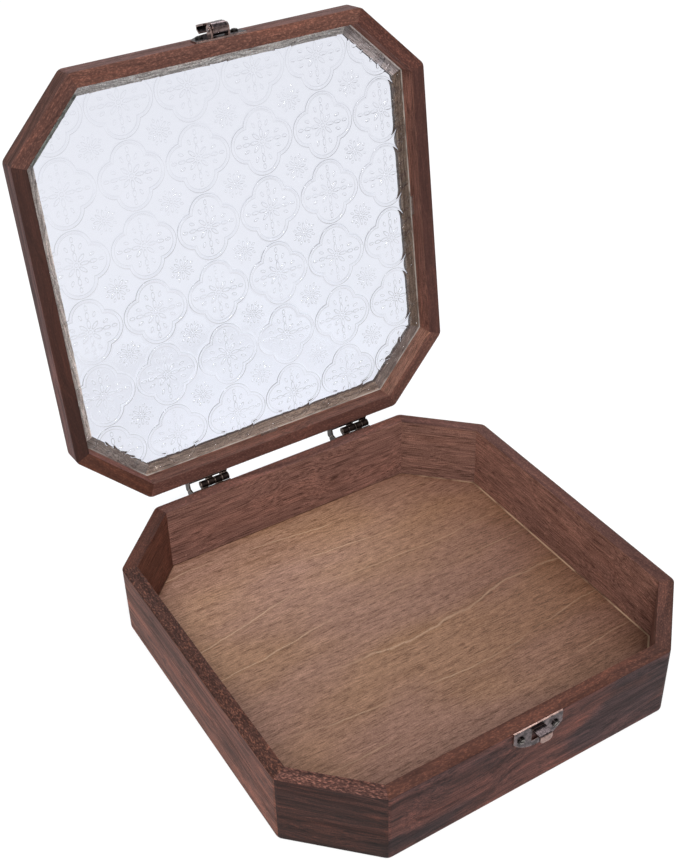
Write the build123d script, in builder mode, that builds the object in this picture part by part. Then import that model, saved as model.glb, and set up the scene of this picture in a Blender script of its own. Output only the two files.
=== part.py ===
from build123d import *
import os
from math import cos, radians, sin, sqrt

os.makedirs("parts", exist_ok=True)

# Octagonal wooden box, mm. X right, Y to the hinged back, Z up, origin at the middle of the underside.
width = 200.0
depth = 200.0
corner_cut = 31.0
base_height = 36.0
wall = 6.5
corner_round = 4.0
bottom_round = 1.8
rim_round = 0.5
inner_break = 0.4

# Plywood floor let into a rabbet round the bottom of the walls.
floor_thick = 3.0
floor_rabbet = 3.0
floor_clear = 0.2

# Lid frame: same boards, glass laid on a lip from the inside.
seam_gap = 0.2
lid_height = 12.5
lip_thick = 2.0
lip_width = 5.5
lid_round = 2.0
glass_thick = 2.5
glass_clear = 0.5
lid_open = 98.0

# Flat steel points that keep the glass against the lip.
point_length = 9.0
point_thick = 0.6
point_shown = 1.2
point_sunk = 1.0
point_clear = 0.1

# Butt hinges on the back.
hinge_x = 40.0
axis_off = 3.2
leaf_thick = 0.8
leaf_drop = 11.0
leaf_clear = 0.4
leaf_left = 9.2
leaf_right = 11.4
barrel_r = 1.8
barrel_left = 3.6
knuckle_count = 4
knuckle_gap = 0.2
pin_r = 0.8
pin_clear = 0.05
pin_proud = 0.3
stop_gap_deg = 1.2
stop_reach = 5.0
stop_drop = 5.2
stop_root = 0.6

# Round-head screws.
screw_shank_r = 0.9
screw_head_r = 1.7
screw_head_h = 1.0
screw_length = 4.2
screw_slot = 0.45
hole_clear = 0.05

# Hasp: plate, sprung flap and catch plate.
plate_width = 24.0
plate_thick = 0.8
plate_side = 5.6
plate_drop = 11.8
plate_screw_x = 8.4
plate_screw_z = 5.0
tongue_width = 6.0
tongue_drop = 2.2
tongue_out = 5.8
lip_length = 3.8
catch_slot = 5.6
roll_r = 2.7
roll_width = 7.0
latch_pin_r = 1.0
latch_up = 2.9
latch_out = 3.9
ear_thick = 0.8
ear_r = 2.1
ear_gap = 0.15
flap_thick = 0.8
flap_width = 9.4
flap_reach = 13.0
flap_tab = 3.0
flap_window = 6.6
flap_closing = 178.0

lid_base = base_height + seam_gap
lid_top = lid_base + lid_height
axis_y = depth / 2 + axis_off
axis_z = base_height + seam_gap / 2
lid_axis = Axis((0, axis_y, axis_z), (1, 0, 0))
front_y = -depth / 2
back_y = depth / 2
plate_face = front_y - plate_thick
leaf_face = back_y + leaf_thick
glass_low = lid_top - lip_thick - glass_thick
hinge_centres = (-hinge_x, hinge_x)
leaf_screw_x = (-leaf_left + 4.2, leaf_right - 4.2)
leaf_screw_z = 7.2


def octagon(inset):
    """Corner points of the plan outline, moved inwards by inset, from the left side round the front."""
    a = width / 2 - inset
    b = depth / 2 - inset
    c = corner_cut - inset * (2 - sqrt(2))
    return [
        (-a, -b + c),
        (-a + c, -b),
        (a - c, -b),
        (a, -b + c),
        (a, b - c),
        (a - c, b),
        (-a + c, b),
        (-a, b - c),
    ]


side_names = ["front_left", "front", "front_right", "right", "back_right", "back", "back_left", "left"]


def save(solid, name):
    """Names a piece and writes its file."""
    solid.label = name
    export_step(solid, f"parts/{name}.step")


def opened(solid):
    """Swings a piece of the lid from the closed to the open position."""
    return solid.rotate(lid_axis, -lid_open)


def mitred(ring, index):
    """One board of a ring, cut on the two mitres beside it."""
    outer = octagon(-8)
    inner = octagon(16)
    after = (index + 1) % 8
    with BuildPart() as board:
        add(ring)
        with BuildSketch():
            Polygon(outer[index], outer[after], inner[after], inner[index], align=None)
        extrude(amount=lid_top + 10, mode=Mode.INTERSECT)
    return board.part


def facing_front(x, z, y=front_y):
    """Plane on the front face, looking out of the box."""
    return Plane(origin=(x, y, z), x_dir=(1, 0, 0), z_dir=(0, -1, 0))


def facing_back(x, z, y=back_y):
    """Plane on the back face, looking out of the box."""
    return Plane(origin=(x, y, z), x_dir=(-1, 0, 0), z_dir=(0, 1, 0))


def slotted_screws(planes):
    """Round-head wood screws seated on the given planes, as one set of separate solids."""
    with BuildPart() as screws:
        for plane in planes:
            with BuildSketch(plane):
                Circle(screw_head_r)
            extrude(amount=screw_head_h, taper=24)
            with BuildSketch(plane.offset(screw_head_h)):
                Rectangle(screw_head_r * 3, screw_slot, rotation=35)
            extrude(amount=-screw_slot, mode=Mode.SUBTRACT)
            with BuildSketch(plane):
                Circle(screw_shank_r)
            extrude(amount=-screw_length)
    return screws.part


catch_screws_at = [(x, base_height - plate_screw_z) for x in (-plate_screw_x, plate_screw_x)]
latch_screws_at = [(x, lid_base + plate_screw_z) for x in (-plate_screw_x, plate_screw_x)]
leaf_low_at = [(h + x, axis_z - leaf_screw_z) for h in hinge_centres for x in leaf_screw_x]
leaf_high_at = [(h + x, axis_z + leaf_screw_z) for h in hinge_centres for x in leaf_screw_x]
pilot_r = screw_shank_r + hole_clear
pilot_deep = screw_length - plate_thick + 2 * hole_clear

# Base walls: eight mitred boards, glued, corners and lower edges rounded after gluing.
with BuildPart() as base_ring:
    with BuildSketch():
        Polygon(*octagon(0), align=None)
    extrude(amount=base_height)
    fillet(base_ring.edges().filter_by(Axis.Z), corner_round)
    fillet(base_ring.edges().group_by(Axis.Z)[0], bottom_round)
    fillet(base_ring.edges().group_by(Axis.Z)[-1], rim_round)
    with BuildSketch():
        Polygon(*octagon(wall), align=None)
    extrude(amount=base_height, mode=Mode.SUBTRACT)
    with BuildSketch():
        Polygon(*octagon(wall - floor_rabbet), align=None)
    extrude(amount=floor_thick, mode=Mode.SUBTRACT)
    for x, z in catch_screws_at:
        with BuildSketch(facing_front(x, z)):
            Circle(pilot_r)
        extrude(amount=-pilot_deep, mode=Mode.SUBTRACT)
    for x, z in leaf_low_at:
        with BuildSketch(facing_back(x, z)):
            Circle(pilot_r)
        extrude(amount=-pilot_deep, mode=Mode.SUBTRACT)

for index, side in enumerate(side_names):
    save(mitred(base_ring.part, index), f"wall_{side}")

# Floor: one plywood panel, flush with the underside of the walls.
with BuildPart() as floor_panel:
    with BuildSketch():
        Polygon(*octagon(wall - floor_rabbet + floor_clear), align=None)
    extrude(amount=floor_thick)
save(floor_panel.part, "floor_panel")

# Lid frame: eight mitred rails with a lip at the outside face.
with BuildPart() as lid_ring:
    with BuildSketch(Plane.XY.offset(lid_base)):
        Polygon(*octagon(0), align=None)
    extrude(amount=lid_height)
    fillet(lid_ring.edges().filter_by(Axis.Z), corner_round)
    fillet(lid_ring.edges().group_by(Axis.Z)[0], rim_round)
    fillet(lid_ring.edges().group_by(Axis.Z)[-1], lid_round)
    with BuildSketch(Plane.XY.offset(lid_base)):
        Polygon(*octagon(wall + lip_width), align=None)
    extrude(amount=lid_height, mode=Mode.SUBTRACT)
    with BuildSketch(Plane.XY.offset(lid_base)):
        Polygon(*octagon(wall), align=None)
    extrude(amount=lid_height - lip_thick, mode=Mode.SUBTRACT)
    for x, z in latch_screws_at:
        with BuildSketch(facing_front(x, z)):
            Circle(pilot_r)
        extrude(amount=-pilot_deep, mode=Mode.SUBTRACT)
    for x, z in leaf_high_at:
        with BuildSketch(facing_back(x, z)):
            Circle(pilot_r)
        extrude(amount=-pilot_deep, mode=Mode.SUBTRACT)
    kerf = point_sunk + point_clear
    with BuildSketch(Plane.XY.offset(glass_low)):
        Rectangle(width - 2 * wall + 2 * kerf, point_length + 2 * point_clear)
        Rectangle(point_length + 2 * point_clear, depth - 2 * wall + 2 * kerf)
    extrude(amount=-point_thick - point_clear, mode=Mode.SUBTRACT)

for index, side in enumerate(side_names):
    save(opened(mitred(lid_ring.part, index)), f"rail_{side}")

# Pane of pressed glass, laid on the lip from the inside.
with BuildPart() as glass_pane:
    with BuildSketch(Plane.XY.offset(glass_low)):
        Polygon(*octagon(wall + glass_clear), align=None)
    extrude(amount=glass_thick)
save(opened(glass_pane.part), "glass_pane")

# Glazing points: one thin steel strip pressed into the middle of each long rail.
with BuildPart() as glazing_points:
    with BuildSketch(Plane.XY.offset(glass_low)):
        Rectangle(width - 2 * wall + 2 * point_sunk, point_length)
        Rectangle(point_length, depth - 2 * wall + 2 * point_sunk)
        Rectangle(width - 2 * wall - 2 * point_shown, depth - 2 * wall - 2 * point_shown, mode=Mode.SUBTRACT)
    extrude(amount=-point_thick)
save(opened(glazing_points.part), "glazing_points")


def across(x, y=axis_y, z=axis_z):
    """Plane square to the hinge axis: local x is Y, local y is Z."""
    return Plane(origin=(x, y, z), x_dir=(0, 1, 0), z_dir=(1, 0, 0))


barrel_length = barrel_left + leaf_right
knuckle = (barrel_length - (knuckle_count - 1) * knuckle_gap) / knuckle_count
stop_half = radians(lid_open / 2 + stop_gap_deg / 2)


def hinge_leaf(centre, up, first, bore_r):
    """One leaf: plate, every second knuckle on its neck, and the stop flange. up is -1 or +1."""
    with BuildPart() as leaf:
        with BuildSketch(across(centre - leaf_left)):
            with Locations((-axis_off + leaf_thick / 2, up * (leaf_clear + leaf_drop) / 2)):
                Rectangle(leaf_thick, leaf_drop - leaf_clear)
        extrude(amount=leaf_left + leaf_right)
        for number in range(first, knuckle_count, 2):
            start = centre - barrel_left + number * (knuckle + knuckle_gap)
            with BuildSketch(across(start)):
                Circle(barrel_r)
                Polygon(
                    (-axis_off, up * 1.4),
                    (-axis_off, up * 3.0),
                    (0, up * barrel_r),
                    (-barrel_r / 2, up * 0.8),
                    align=None,
                )
            extrude(amount=knuckle)
        with BuildSketch(across(centre - barrel_left)):
            Circle(bore_r)
        extrude(amount=barrel_length, mode=Mode.SUBTRACT)
        with BuildSketch(across(centre - leaf_left)):
            Polygon(
                (-axis_off, up * 1.0),
                (-axis_off, up * stop_drop),
                (stop_drop / 2, up * stop_drop),
                (stop_reach * cos(stop_half), up * stop_reach * sin(stop_half)),
                (stop_root * cos(stop_half), up * stop_root * sin(stop_half)),
                align=None,
            )
        extrude(amount=leaf_thick)
        for x in leaf_screw_x:
            with BuildSketch(facing_back(centre + x, axis_z + up * leaf_screw_z)):
                Circle(pilot_r)
            extrude(amount=leaf_thick, mode=Mode.SUBTRACT)
    return leaf.part


# Two hinges with four knuckles each. The flanges at the left meet when the lid is fully open.
for side, centre in zip(("left", "right"), hinge_centres):
    save(hinge_leaf(centre, -1, 0, pin_r), f"hinge_{side}_base_leaf")
    save(opened(hinge_leaf(centre, 1, 1, pin_r + pin_clear)), f"hinge_{side}_lid_leaf")
    with BuildPart() as hinge_pin:
        with BuildSketch(across(centre - barrel_left - pin_proud)):
            Circle(pin_r)
        extrude(amount=barrel_length + 2 * pin_proud)
    save(hinge_pin.part, f"hinge_{side}_pin")

hinge_low = [facing_back(x, z, leaf_face) for x, z in leaf_low_at]
hinge_high = [facing_back(x, z, leaf_face) for x, z in leaf_high_at]
save(slotted_screws(hinge_low), "hinge_screws_base")
save(opened(slotted_screws(hinge_high)), "hinge_screws_lid")


def shield(plane):
    """Plate outline: straight edge at the seam, short sides and a bowed far edge."""
    half = plate_width / 2
    bow = (half * 0.56, plate_side + (plate_drop - plate_side) * 0.74)
    with BuildSketch(plane) as outline:
        with BuildLine():
            Line((-half, 0), (half, 0))
            Line((half, 0), (half, plate_side))
            ThreePointArc((half, plate_side), bow, (0, plate_drop))
            ThreePointArc((0, plate_drop), (-bow[0], bow[1]), (-half, plate_side))
            Line((-half, plate_side), (-half, 0))
        make_face()
    return outline.sketch


# Catch plate on the base: a tongue bent out of the plate ends in a lip that points down.
with BuildPart() as catch_plate:
    down = Plane(origin=(0, front_y, base_height), x_dir=(-1, 0, 0), z_dir=(0, -1, 0))
    extrude(shield(down), amount=plate_thick)
    with BuildSketch(facing_front(0, base_height - tongue_drop - plate_thick - catch_slot / 2)):
        Rectangle(tongue_width + 2 * ear_gap, catch_slot)
    extrude(amount=plate_thick, mode=Mode.SUBTRACT)
    with BuildSketch(across(-tongue_width / 2, front_y, base_height - tongue_drop)):
        Polygon(
            (0, 0),
            (-tongue_out, 0),
            (-tongue_out, -lip_length),
            (-tongue_out + plate_thick, -lip_length),
            (-tongue_out + plate_thick, -plate_thick),
            (0, -plate_thick),
            align=None,
        )
    extrude(amount=tongue_width)
    fillet(catch_plate.edges().filter_by(Axis.X).group_by(Axis.Y)[0].sort_by(Axis.Z)[-1], plate_thick)
    lip_edges = catch_plate.edges().filter_by(Axis.Y).filter_by(
        lambda e: e.center().Y < front_y - tongue_out + plate_thick
        and e.center().Z < base_height - tongue_drop - lip_length + 0.1
    )
    fillet(lip_edges, tongue_width / 3)
    for x, z in catch_screws_at:
        with BuildSketch(facing_front(x, z)):
            Circle(pilot_r)
        extrude(amount=plate_thick, mode=Mode.SUBTRACT)
save(catch_plate.part, "catch_plate")
save(slotted_screws([facing_front(x, z, plate_face) for x, z in catch_screws_at]), "catch_screws")

# Latch plate on the lid: two ears carry the pin of the flap.
pin_y = front_y - latch_out
pin_z = lid_base + latch_up
ear_inside = roll_width / 2 + ear_gap
with BuildPart() as latch_plate:
    extrude(shield(facing_front(0, lid_base)), amount=plate_thick)
    for start in (-ear_inside - ear_thick, ear_inside):
        with BuildSketch(across(start, pin_y, pin_z)):
            Circle(ear_r)
            with Locations((latch_out / 2, 0)):
                Rectangle(latch_out, 2 * ear_r)
        extrude(amount=ear_thick)
    with BuildSketch(across(-plate_width / 2, pin_y, pin_z)):
        Circle(latch_pin_r)
    extrude(amount=plate_width, mode=Mode.SUBTRACT)
    for x, z in latch_screws_at:
        with BuildSketch(facing_front(x, z)):
            Circle(pilot_r)
        extrude(amount=plate_thick, mode=Mode.SUBTRACT)
save(opened(latch_plate.part), "latch_plate")
save(opened(slotted_screws([facing_front(x, z, plate_face) for x, z in latch_screws_at])), "latch_screws")

with BuildPart() as latch_pin:
    pin_half = ear_inside + ear_thick + pin_proud
    with BuildSketch(across(-pin_half, pin_y, pin_z)):
        Circle(latch_pin_r)
    extrude(amount=2 * pin_half)
save(opened(latch_pin.part), "latch_pin")

# Flap: rolled round the pin and thrown back over the plate, with a window for the tongue. Its finger tab is
# folded down towards the plate, and so points out when the flap is shut. Outwards is negative in this view.
with BuildPart() as latch_flap:
    half_width = flap_width / 2
    neck = roll_width / 2
    side_view = Plane(origin=(-half_width, pin_y, pin_z), x_dir=(0, 0, 1), z_dir=(-1, 0, 0))
    with BuildSketch(side_view):
        Circle(roll_r)
        with BuildLine():
            bend = (flap_reach - 0.7, -0.35)
            crook = (flap_reach - 0.9, 0.42)
            tab_end = (flap_reach - 3.2, flap_tab)
            ThreePointArc((0, -roll_r), (flap_reach / 2, -1.75), bend)
            ThreePointArc(bend, (flap_reach - 0.05, 0.2), (flap_reach - 0.4, 1.0))
            Line((flap_reach - 0.4, 1.0), tab_end)
            Line(tab_end, (tab_end[0] - 0.465, tab_end[1] - 0.65))
            Line((tab_end[0] - 0.465, tab_end[1] - 0.65), crook)
            ThreePointArc(crook, (flap_reach / 2 - 0.15, -0.965), (0, -roll_r + flap_thick))
            Line((0, -roll_r + flap_thick), (0, -roll_r))
        make_face()
    extrude(amount=-flap_width)
    with BuildSketch(Plane(origin=(0, pin_y, pin_z), x_dir=(1, 0, 0), z_dir=(0, -1, 0))):
        Polygon(
            (-neck, -roll_r - 1),
            (neck, -roll_r - 1),
            (neck, roll_r + 0.2),
            (half_width, roll_r + 1.8),
            (half_width, flap_reach - 1.4),
            (half_width - 1.2, flap_reach + 1),
            (-half_width + 1.2, flap_reach + 1),
            (-half_width, flap_reach - 1.4),
            (-half_width, roll_r + 1.8),
            (-neck, roll_r + 0.2),
            align=None,
        )
    extrude(amount=roll_r + 1, both=True, mode=Mode.INTERSECT)
    window_from = 4.3
    window_to = flap_reach - 2.6
    with BuildSketch(Plane(origin=(0, pin_y, pin_z), x_dir=(1, 0, 0), z_dir=(0, -1, 0))):
        with Locations((0, (window_from + window_to) / 2)):
            Rectangle(flap_window, window_to - window_from)
    extrude(amount=roll_r + 1, mode=Mode.SUBTRACT)
    with BuildSketch(across(-half_width, pin_y, pin_z)):
        Circle(latch_pin_r + pin_clear)
    extrude(amount=flap_width, mode=Mode.SUBTRACT)
save(opened(latch_flap.part), "latch_flap")
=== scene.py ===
from math import atan2, pi, radians, sqrt

import bmesh
import bpy
import numpy as np
from mathutils import Matrix, Vector


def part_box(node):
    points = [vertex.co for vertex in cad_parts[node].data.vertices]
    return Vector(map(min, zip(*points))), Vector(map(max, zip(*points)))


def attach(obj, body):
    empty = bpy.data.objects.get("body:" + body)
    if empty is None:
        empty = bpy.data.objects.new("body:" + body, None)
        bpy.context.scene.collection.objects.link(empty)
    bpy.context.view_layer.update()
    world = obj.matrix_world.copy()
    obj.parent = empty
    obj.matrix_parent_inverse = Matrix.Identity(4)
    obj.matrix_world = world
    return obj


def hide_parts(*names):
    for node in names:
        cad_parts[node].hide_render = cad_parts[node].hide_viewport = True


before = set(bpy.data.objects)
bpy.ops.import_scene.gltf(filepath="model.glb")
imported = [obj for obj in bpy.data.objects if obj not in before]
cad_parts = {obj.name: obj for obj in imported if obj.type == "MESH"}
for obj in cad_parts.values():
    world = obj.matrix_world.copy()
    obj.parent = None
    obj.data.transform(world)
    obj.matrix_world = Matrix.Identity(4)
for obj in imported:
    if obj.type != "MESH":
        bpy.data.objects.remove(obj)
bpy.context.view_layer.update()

# ---------------------------------------------------------------------------------------------------------
# Base walls. Eight walnut boards, planed, mitred at 22.5 degrees and glued into an octagonal ring, then
# stained and rubbed with a thin matt oil. The sawn rims are left rough. Each face's colour is its stain with
# painted light and shade for the way that face lies, lighter inside.
# ---------------------------------------------------------------------------------------------------------
sides = ["front_left", "front", "front_right", "right", "back_right", "back", "back_left", "left"]
half_width = 0.1
corner_cut = 0.031
wall_thick = 0.0065
board_arris = 0.0005
mitre_slack = 0.00025
mitre_reach = 0.025
weld_distance = 2e-6


def octagon(inset):
    """Plan corners, from the left side round the front."""
    a = half_width - inset
    c = corner_cut - inset * (2 - sqrt(2))
    return [
        (-a, -a + c),
        (-a + c, -a),
        (a - c, -a),
        (a, -a + c),
        (a, a - c),
        (a - c, a),
        (-a + c, a),
        (-a, a - c),
    ]


def board_angle(index):
    """Direction in plan that a board runs."""
    (x0, y0), (x1, y1) = octagon(0.0)[index], octagon(0.0)[(index + 1) % 8]
    return atan2(y1 - y0, x1 - x0)


def middle(node):
    low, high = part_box(node)
    return (Vector(low) + Vector(high)) / 2


def on_mitre(place):
    """True on the mitre planes of the closed box."""
    for (ox, oy), (ix, iy) in zip(octagon(0.0), octagon(0.01)):
        along = Vector((ox - ix, oy - iy)).normalized()
        off = Vector((place.x - ox, place.y - oy))
        if abs(along.x * off.y - along.y * off.x) < mitre_slack and off.length < mitre_reach:
            return True
    return False


def eased(node, arris, seam=None, angle=30):
    """A board or plate with its sharp edges eased; the eased faces are marked for wear and painted
    highlight. Edges that lie on a seam stay as cut.
    """
    bm = bmesh.new()
    bm.from_mesh(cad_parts[node].data)
    bmesh.ops.remove_doubles(bm, verts=bm.verts, dist=weld_distance)
    bmesh.ops.dissolve_limit(bm, angle_limit=radians(0.4), verts=bm.verts, edges=bm.edges)
    sharp = []
    for edge in bm.edges:
        if len(edge.link_faces) == 2 and edge.calc_face_angle(0) > radians(angle):
            if not (seam and seam(edge.verts[0].co) and seam(edge.verts[1].co)):
                sharp.append(edge)
    made = bmesh.ops.bevel(
        bm, geom=sharp, offset=arris, segments=3, profile=0.6, affect="EDGES", clamp_overlap=True
    )
    soft = set(made["faces"])
    wear_and_highlight = [1.0 if face in soft else 0.0 for face in bm.faces]
    mesh = bpy.data.meshes.new(node + "_eased")
    bm.to_mesh(mesh)
    bm.free()
    mesh.attributes.new("wear_and_highlight", "FLOAT", "FACE").data.foreach_set("value", wear_and_highlight)
    for polygon in mesh.polygons:
        polygon.use_smooth = True
    mesh.set_sharp_from_angle(angle=radians(40))
    piece = bpy.data.objects.new(node + "_finished", mesh)
    bpy.context.scene.collection.objects.link(piece)
    weighted = piece.modifiers.new("Weighted", "WEIGHTED_NORMAL")
    weighted.keep_sharp = True
    weighted.weight = 80
    return piece


def stain_and_shade_faces(piece, tone_of):
    """Writes on each face its stain with painted light and shade, how roughly it is sawn, and how much of
    the grain's figure shows.
    """
    faces = [tone_of(polygon.normal, polygon.center) for polygon in piece.data.polygons]
    layers = piece.data.attributes
    layers.new("tone", "FLOAT_COLOR", "FACE").data.foreach_set(
        "color", [v for face in faces for v in (*face[0], 1.0)]
    )
    layers.new("sawn", "FLOAT", "FACE").data.foreach_set("value", [face[1] for face in faces])
    layers.new("figure", "FLOAT", "FACE").data.foreach_set("value", [face[2] for face in faces])


def finish_piece(piece, node, body, material):
    """Puts the finish on a piece and lets it stand for its CAD node."""
    piece.data.materials.clear()
    piece.data.materials.append(material)
    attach(piece, body)
    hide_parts(node)


def node_in(tree, kind, values=None, **settings):
    """A node with its settings, and its inputs set to values or linked to sockets."""
    node = tree.nodes.new(kind)
    for key, value in settings.items():
        setattr(node, key, value)
    for key, value in (values or {}).items():
        if isinstance(value, bpy.types.NodeSocket):
            tree.links.new(value, node.inputs[key])
        else:
            node.inputs[key].default_value = value
    return node


def maths(tree, operation, a, b=0.0, c=None, clamp=False):
    values = {0: a, 1: b} if c is None else {0: a, 1: b, 2: c}
    return node_in(tree, "ShaderNodeMath", values, operation=operation, use_clamp=clamp).outputs[0]


def between(tree, value, low, high, to_low=0.0, to_high=1.0):
    """Smooth step of value from low to high."""
    ends = {"Value": value, "From Min": low, "From Max": high, "To Min": to_low, "To Max": to_high}
    return node_in(tree, "ShaderNodeMapRange", ends, interpolation_type="SMOOTHSTEP").outputs["Result"]


def mixed(tree, factor, a, b, blend="MIX"):
    node = node_in(tree, "ShaderNodeMix", {"Factor": factor}, data_type="RGBA", blend_type=blend)
    for index, value in ((6, a), (7, b)):
        if isinstance(value, bpy.types.NodeSocket):
            tree.links.new(value, node.inputs[index])
        else:
            node.inputs[index].default_value = value if len(value) == 4 else (*value, 1.0)
    return node.outputs[2]


def drawn_out(tree, vector, repeats, detail=3.0, rough=0.55):
    """Noise drawn out along the grain; repeats are per metre along, through and across."""
    place = node_in(tree, "ShaderNodeVectorMath", {0: vector, 1: repeats}, operation="MULTIPLY").outputs[0]
    values = {"Vector": place, "Scale": 1.0, "Detail": detail, "Roughness": rough}
    return node_in(tree, "ShaderNodeTexNoise", values).outputs["Fac"]


def grain_group():
    """Stained open-pored wood, grain along the vector's X. Its pattern lightens and darkens the tone."""
    group = bpy.data.node_groups.new("stained grain", "ShaderNodeTree")
    for label, kind in (
        ("Vector", "NodeSocketVector"),
        ("Tone", "NodeSocketColor"),
        ("Sawn", "NodeSocketFloat"),
        ("Figure", "NodeSocketFloat"),
        ("Blotch", "NodeSocketFloat"),
        ("Speckle", "NodeSocketFloat"),
        ("Wear_and_highlight", "NodeSocketFloat"),
    ):
        group.interface.new_socket(label, in_out="INPUT", socket_type=kind)
    for label, kind in (
        ("Color", "NodeSocketColor"), ("Roughness", "NodeSocketFloat"), ("Height", "NodeSocketFloat")
    ):
        group.interface.new_socket(label, in_out="OUTPUT", socket_type=kind)
    given, result = group.nodes.new("NodeGroupInput"), group.nodes.new("NodeGroupOutput")
    place, sawn = given.outputs["Vector"], given.outputs["Sawn"]
    planed = maths(group, "SUBTRACT", 1.0, sawn)
    figure = given.outputs["Figure"]
    wander = maths(group, "SUBTRACT", drawn_out(group, place, (11.0, 20.0, 20.0), 2.0), 0.5)
    wander = maths(group, "MULTIPLY", wander, 0.022)
    shift = node_in(group, "ShaderNodeCombineXYZ", {1: wander, 2: wander}).outputs[0]
    bent = node_in(group, "ShaderNodeVectorMath", {0: place, 1: shift}, operation="ADD").outputs[0]
    bands = drawn_out(group, bent, (4.0, 75.0, 75.0), 3.0, 0.5)
    streaks = drawn_out(group, bent, (9.0, 380.0, 380.0), 4.0, 0.6)
    fibres = drawn_out(group, bent, (55.0, 2100.0, 2100.0), 2.0, 0.5)
    pores = drawn_out(group, bent, (150.0, 1900.0, 1900.0), 1.0, 0.5)
    grit = drawn_out(group, place, (1900.0, 1900.0, 1900.0), 2.0, 0.6)
    crumb = drawn_out(group, place, (800.0, 1700.0, 1700.0), 2.0, 0.6)
    clouds = drawn_out(group, place, (13.0, 45.0, 45.0), 2.0, 0.5)

    def shade(colour, amount, times):
        return mixed(group, amount, colour, times, "MULTIPLY")

    def part(amount, share):
        return maths(group, "MULTIPLY", amount, share)

    colour = given.outputs["Tone"]
    colour = shade(colour, part(between(group, bands, 0.46, 0.64, 0.0, 0.9), figure), (0.5, 0.46, 0.46))
    colour = shade(colour, part(between(group, bands, 0.5, 0.32, 0.0, 0.9), figure), (1.45, 1.26, 1.12))
    streaky = maths(group, "ADD", maths(group, "MULTIPLY", figure, 0.85), 0.15)
    colour = shade(colour, part(between(group, streaks, 0.5, 0.68), streaky), (0.52, 0.46, 0.44))
    colour = shade(colour, part(between(group, streaks, 0.5, 0.33), streaky), (1.55, 1.42, 1.34))
    fine = maths(group, "ADD", maths(group, "MULTIPLY", planed, 0.7), 0.3)
    colour = shade(colour, part(between(group, fibres, 0.5, 0.68), fine), (0.5, 0.46, 0.45))
    colour = shade(colour, part(between(group, fibres, 0.5, 0.32), fine), (1.5, 1.5, 1.5))
    blotch = maths(group, "MULTIPLY", between(group, clouds, 0.47, 0.6), given.outputs["Blotch"])
    colour = shade(colour, part(blotch, figure), (0.46, 0.6, 0.8))
    open_pores = part(between(group, pores, 0.62, 0.7, 0.0, 0.7), planed)
    colour = shade(colour, open_pores, (0.28, 0.22, 0.22))
    colour = shade(colour, part(between(group, grit, 0.52, 0.66), planed), (1.4, 1.42, 1.42))
    colour = shade(colour, part(between(group, grit, 0.48, 0.36), planed), (0.74, 0.7, 0.7))
    calm = maths(group, "SUBTRACT", planed, figure, clamp=True)
    specks = node_in(group, "ShaderNodeTexVoronoi", {"Vector": place, "Scale": 150.0}, feature="F1")
    flecks = part(
        between(group, specks.outputs["Distance"], 0.07, 0.04), between(group, clouds, 0.5, 0.58, 0.0, 0.9)
    )
    colour = shade(colour, part(flecks, calm), (2.6, 3.0, 3.0))
    rough_saw = maths(group, "MULTIPLY", given.outputs["Speckle"], sawn)
    colour = shade(colour, part(between(group, crumb, 0.53, 0.66), rough_saw), (3.1, 3.3, 3.2))
    colour = shade(colour, part(between(group, crumb, 0.5, 0.36), rough_saw), (0.36, 0.33, 0.34))
    # worn arrises are lightened: wear, and a painted highlight along the eased edges
    rubbed_and_highlit = maths(group, "MULTIPLY", given.outputs["Wear_and_highlight"], between(group, streaks, 0.44, 0.56, 0.1, 1.0))
    colour = shade(colour, rubbed_and_highlit, (2.3, 2.1, 2.0))
    group.links.new(colour, result.inputs["Color"])
    group.links.new(between(group, streaks, 0.25, 0.75, 0.58, 0.72), result.inputs["Roughness"])
    height = maths(group, "ADD", part(fibres, 0.5), part(streaks, 0.4))
    height = maths(group, "SUBTRACT", height, part(open_pores, 0.5))
    height = maths(group, "ADD", height, part(part(crumb, rough_saw), 1.2))
    group.links.new(height, result.inputs["Height"])
    return group


stained_grain = grain_group()


def stained_wood(name, turn, centre, start, blotch, speckle):
    """The grain follows the board: turn takes the board's own axes to the object's."""
    material = bpy.data.materials.new(name)
    material.use_nodes = True
    tree = material.node_tree
    shader = tree.nodes["Principled BSDF"]
    shader.inputs["Specular IOR Level"].default_value = 0.22
    place = node_in(tree, "ShaderNodeTexCoord").outputs["Object"]
    lie = node_in(
        tree,
        "ShaderNodeMapping",
        {"Vector": place, "Location": tuple(centre), "Rotation": tuple(turn.to_euler("XYZ"))},
        vector_type="TEXTURE",
    ).outputs[0]
    own = node_in(
        tree, "ShaderNodeVectorMath", {0: lie, 1: (start, start * 0.37, start * 0.23)}, operation="ADD"
    )
    grain = node_in(tree, "ShaderNodeGroup", node_tree=stained_grain)
    tree.links.new(own.outputs[0], grain.inputs["Vector"])
    tone = node_in(tree, "ShaderNodeAttribute", attribute_name="tone")
    tree.links.new(tone.outputs["Color"], grain.inputs["Tone"])
    for label in ("Sawn", "Figure", "Wear_and_highlight"):
        layer = node_in(tree, "ShaderNodeAttribute", attribute_name=label.lower())
        tree.links.new(layer.outputs["Fac"], grain.inputs[label])
    grain.inputs["Blotch"].default_value = blotch
    grain.inputs["Speckle"].default_value = speckle
    tree.links.new(grain.outputs["Color"], shader.inputs["Base Color"])
    tree.links.new(grain.outputs["Roughness"], shader.inputs["Roughness"])
    raised = node_in(
        tree, "ShaderNodeBump", {"Strength": 0.5, "Distance": 0.00012, "Height": grain.outputs["Height"]}
    )
    tree.links.new(raised.outputs[0], shader.inputs["Normal"])
    return material
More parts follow.
